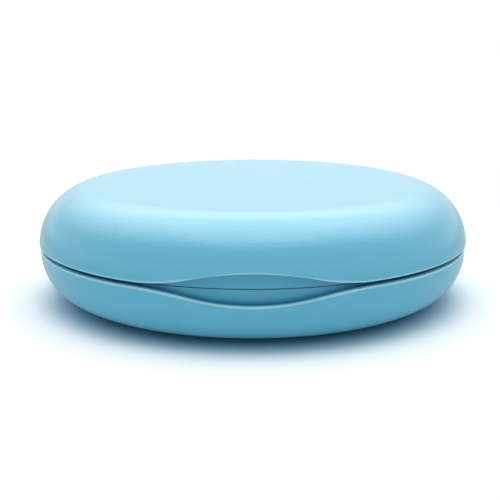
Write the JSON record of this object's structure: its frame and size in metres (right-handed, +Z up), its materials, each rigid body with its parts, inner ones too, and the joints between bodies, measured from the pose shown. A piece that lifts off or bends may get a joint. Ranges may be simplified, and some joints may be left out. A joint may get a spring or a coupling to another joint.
{
  "type": "aligner case",
  "caption": "Round flat-topped clamshell case for clear dental aligners, with a rear hinge, a front finger scoop, magnetic closing and a mirror in the lid.",
  "frame": {"origin": "centre of the underside, on the surface that the case stands on", "axes": "+Z up, the finger scoop faces -Y, the hinge is at +Y with its pin along X"},
  "size_m": [0.086, 0.0856, 0.0228],
  "materials": {
    "shell_plastic": "fine moulded texture",
    "liner_plastic": "smooth satin",
    "pin_steel": "ground",
    "mirror_glass": "polished",
    "adhesive_foam": "foam tape",
    "magnet_nickel": "nickel plated"
  },
  "bodies": {
    "base": {"base_shell": "shell_plastic", "base_tray": "liner_plastic", "hinge_pin": "pin_steel", "base_magnet_left": "magnet_nickel", "base_magnet_right": "magnet_nickel"},
    "lid": {"lid_shell": "shell_plastic", "lid_liner": "liner_plastic", "mirror_glass": "mirror_glass", "mirror_adhesive": "adhesive_foam", "lid_magnet_left": "magnet_nickel", "lid_magnet_right": "magnet_nickel"}
  },
  "joints": [
    {"name": "lid_hinge", "type": "hinge", "parent": "base", "child": "lid", "pos_m": [0, 0.0412, 0.0114], "axis": [-1, 0, 0], "range_deg": [0, 110]}
  ]
}
